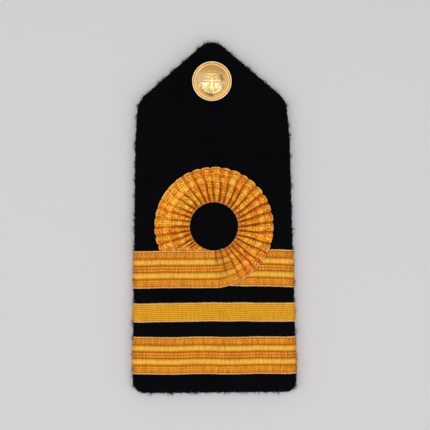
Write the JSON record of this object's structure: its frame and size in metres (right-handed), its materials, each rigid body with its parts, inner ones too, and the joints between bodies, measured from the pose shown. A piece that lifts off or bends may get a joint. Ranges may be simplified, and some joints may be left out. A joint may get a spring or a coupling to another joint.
{
  "type": "naval shoulder board with gold lace, curl and anchor button",
  "caption": "Stiff dark cloth shoulder board with a pointed neck end, gold lace rows and a gathered curl, a gilt anchor button, and a leather tongue strap below.",
  "frame": {"origin": "centre of the board's outline, on the surface that the tongue strap lies on", "axes": "+Y along the board to its pointed neck end, +X to the right seen from the cloth face, +Z out of the cloth face"},
  "size_m": [0.0634, 0.1336, 0.0095],
  "materials": {
    "cloth": "black doeskin wool, slightly fuzzy",
    "lace": "woven gold wire lace in ribs",
    "gilt": "gilt metal, slightly tarnished",
    "leather": "plain black strap leather"
  },
  "bodies": {
    "root": {"cloth_board": "cloth", "lower_lace": "lace", "half_lace": "lace", "side_lace": "lace", "curl_lace": "lace", "button_shell": "gilt", "button_back": "gilt", "tongue_strap": "leather"}
  },
  "joints": []
}
